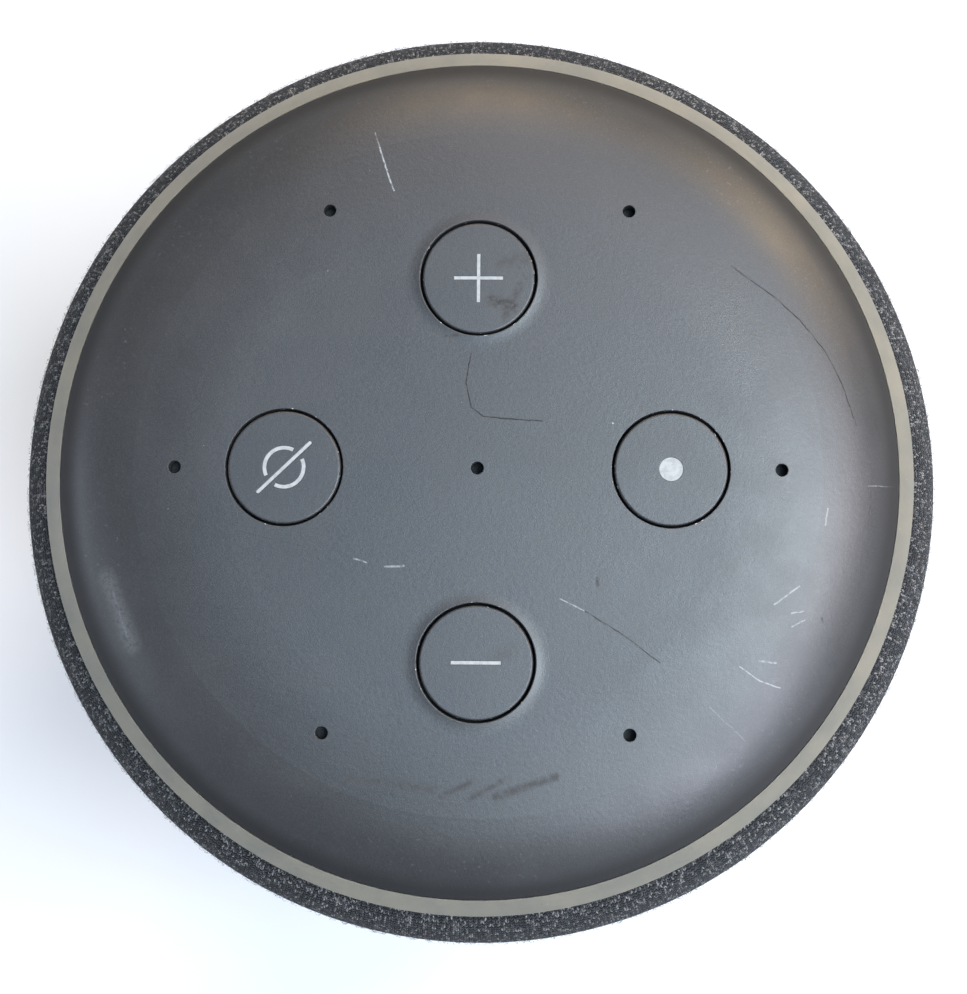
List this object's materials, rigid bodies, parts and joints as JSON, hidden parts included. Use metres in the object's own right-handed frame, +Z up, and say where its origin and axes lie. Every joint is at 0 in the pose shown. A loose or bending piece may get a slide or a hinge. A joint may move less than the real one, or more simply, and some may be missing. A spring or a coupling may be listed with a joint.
{
  "type": "smart speaker",
  "caption": "Round tabletop smart speaker: knit-covered cylinder, dome top with volume, mute and action buttons, microphone holes and a light ring.",
  "frame": {"origin": "centre of the underside, on the table", "axes": "+Z up along the cylinder's axis, front towards -Y, sockets at the back towards +Y"},
  "size_m": [0.099, 0.099, 0.148],
  "materials": {
    "cover_plastic": "satin, very fine texture",
    "button_plastic": "satin, very fine texture",
    "legend_plastic": "satin",
    "light_guide": "translucent, satin",
    "white_plastic": "glossy",
    "black_plastic": "matte, moulded",
    "silicone": "matte",
    "foot_rubber": "matte",
    "driver_rubber": "matte",
    "circuit_board": "solder mask",
    "tin": "tinned",
    "screw_steel": "zinc plated",
    "sink_aluminium": "extruded, bead blasted",
    "pressed_steel": "black e-coat",
    "ferrite": "sintered, matte",
    "cone_paper": "pressed pulp",
    "coil_wire": "enamelled winding",
    "spider_cloth": "resin-dipped cloth",
    "knit": "heather knit"
  },
  "bodies": {
    "housing": {"top_cover": "cover_plastic", "light_ring": "light_guide", "ring_reflector": "white_plastic", "top_frame": "black_plastic", "volume_up_boot": "silicone", "volume_down_boot": "silicone", "mute_boot": "silicone", "action_boot": "silicone", "switch_housings": "black_plastic", "mic_board": "circuit_board", "microphones": "tin", "microphone_gaskets": "driver_rubber", "ring_leds": "white_plastic", "cover_screws": "screw_steel", "ribbon_cable": "circuit_board", "main_board": "circuit_board", "shield_cans": "tin", "thermal_pad": "silicone", "heat_sink": "sink_aluminium", "board_screws": "screw_steel", "wifi_antennas": "circuit_board", "driver_enclosure": "black_plastic", "woofer_basket": "pressed_steel", "woofer_surround": "driver_rubber", "woofer_spider": "spider_cloth", "woofer_top_plate": "pressed_steel", "woofer_magnet": "ferrite", "woofer_yoke": "pressed_steel", "woofer_screws": "screw_steel", "tweeter_bracket": "black_plastic", "tweeter_housing": "black_plastic", "tweeter_magnet": "ferrite", "tweeter_faceplate": "black_plastic", "tweeter_surround": "driver_rubber", "reflector_cone": "black_plastic", "inner_shell": "black_plastic", "fabric_sleeve": "knit", "base_plate": "black_plastic", "rubber_foot": "foot_rubber", "base_screws": "screw_steel", "io_board": "circuit_board", "dc_jack": "black_plastic", "audio_jack": "black_plastic", "port_bezel": "black_plastic"},
    "volume_up_button": {"volume_up_button": "button_plastic", "plus_legend": "legend_plastic", "volume_up_plunger": "black_plastic"},
    "volume_down_button": {"volume_down_button": "button_plastic", "minus_legend": "legend_plastic", "volume_down_plunger": "black_plastic"},
    "mute_button": {"mute_button": "button_plastic", "mute_legend": "legend_plastic", "mute_plunger": "black_plastic"},
    "action_button": {"action_button": "button_plastic", "dot_legend": "legend_plastic", "action_plunger": "black_plastic"},
    "woofer_cone": {"woofer_cone": "cone_paper", "woofer_dust_cap": "cone_paper", "woofer_voice_coil": "coil_wire"},
    "tweeter_dome": {"tweeter_dome": "spider_cloth"}
  },
  "joints": [
    {"name": "volume_up_press", "type": "slide", "parent": "housing", "child": "volume_up_button", "axis": [0, 0, -1], "range_m": [0, 0.0006], "stiffness_N_per_m": 2500, "springref_m": -0.0002, "deforming": ["volume_up_boot"]},
    {"name": "volume_down_press", "type": "slide", "parent": "housing", "child": "volume_down_button", "axis": [0, 0, -1], "range_m": [0, 0.0006], "stiffness_N_per_m": 2500, "springref_m": -0.0002, "deforming": ["volume_down_boot"]},
    {"name": "mute_press", "type": "slide", "parent": "housing", "child": "mute_button", "axis": [0, 0, -1], "range_m": [0, 0.0006], "stiffness_N_per_m": 2500, "springref_m": -0.0002, "deforming": ["mute_boot"]},
    {"name": "action_press", "type": "slide", "parent": "housing", "child": "action_button", "axis": [0, 0, -1], "range_m": [0, 0.0006], "stiffness_N_per_m": 2500, "springref_m": -0.0002, "deforming": ["action_boot"]},
    {"name": "woofer_excursion", "type": "slide", "parent": "housing", "child": "woofer_cone", "axis": [0, 0, -1], "range_m": [-0.0025, 0.0025], "stiffness_N_per_m": 1000, "deforming": ["woofer_surround", "woofer_spider"]},
    {"name": "tweeter_excursion", "type": "slide", "parent": "housing", "child": "tweeter_dome", "axis": [0, 0, -1], "range_m": [-0.0003, 0.0003], "stiffness_N_per_m": 1500, "deforming": ["tweeter_surround"]}
  ]
}
